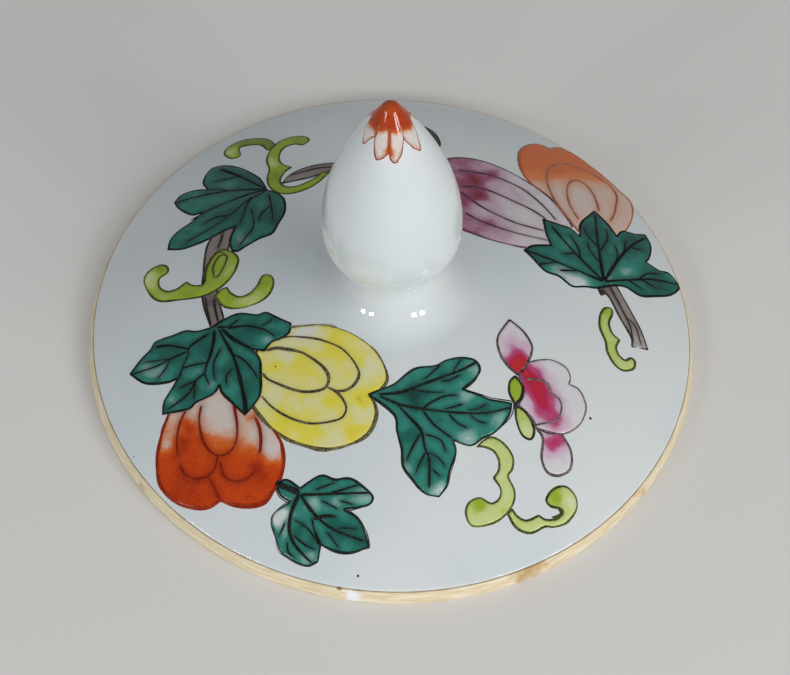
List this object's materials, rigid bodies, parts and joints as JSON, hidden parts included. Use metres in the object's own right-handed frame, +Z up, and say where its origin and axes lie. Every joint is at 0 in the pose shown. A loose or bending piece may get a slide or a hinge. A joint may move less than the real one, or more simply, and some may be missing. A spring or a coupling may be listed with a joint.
{
  "type": "covered tea bowl lid",
  "caption": "Shallow domed porcelain lid of a covered tea bowl, with a bare resting rim, a tall bud-shaped finial and raised enamel melons on the vine.",
  "frame": {"origin": "centre of the flat ring under the rim, on the surface that the lid stands on", "axes": "+Z up along the axis of the dome, -Y towards the painted front, +X to its right, the finial leans slightly towards -X"},
  "size_m": [0.1, 0.1, 0.0554],
  "materials": {
    "bare_porcelain": "unglazed, fine, slightly chalky cream biscuit",
    "clear_glaze": "glossy, cool bluish white, a few iron specks",
    "red_enamel": "glossy iron-red overglaze enamel",
    "yellow_enamel": "glossy translucent lemon enamel with ink ridges",
    "orange_enamel": "glossy iron-red wash, paler at the shoulders",
    "purple_enamel": "glossy aubergine enamel fading to near white",
    "salmon_enamel": "glossy salmon enamel, deeper at the far end",
    "leaf_enamel": "glossy blue-green enamel over black ink veins",
    "branch_enamel": "glossy thin aubergine wash between ink lines",
    "tendril_enamel": "glossy yellow-green enamel with ink outlines",
    "petal_enamel": "glossy rose enamel fading to near white"
  },
  "bodies": {
    "root": {"dome_body": "bare_porcelain", "finial_neck": "bare_porcelain", "finial_bud": "bare_porcelain", "dome_glaze": "clear_glaze", "neck_glaze": "clear_glaze", "bud_glaze": "clear_glaze", "underside_glaze": "clear_glaze", "bud_tip_enamel": "red_enamel", "yellow_melon": "yellow_enamel", "orange_melon": "orange_enamel", "purple_melon": "purple_enamel", "salmon_melon": "salmon_enamel", "leaf_north_west": "leaf_enamel", "leaf_west": "leaf_enamel", "leaf_south": "leaf_enamel", "leaf_centre": "leaf_enamel", "leaf_east": "leaf_enamel", "leaf_behind": "leaf_enamel", "branch_north_west": "branch_enamel", "branch_west": "branch_enamel", "branch_east": "branch_enamel", "tendril_north_west": "tendril_enamel", "tendril_north_west_curl": "tendril_enamel", "tendril_west": "tendril_enamel", "tendril_west_hook": "tendril_enamel", "tendril_south": "tendril_enamel", "tendril_south_curl": "tendril_enamel", "tendril_east": "tendril_enamel", "sepal_upper": "tendril_enamel", "sepal_lower": "tendril_enamel", "flower_upper_petal": "petal_enamel", "flower_main_petals": "petal_enamel", "flower_lower_petal": "petal_enamel"}
  },
  "joints": []
}
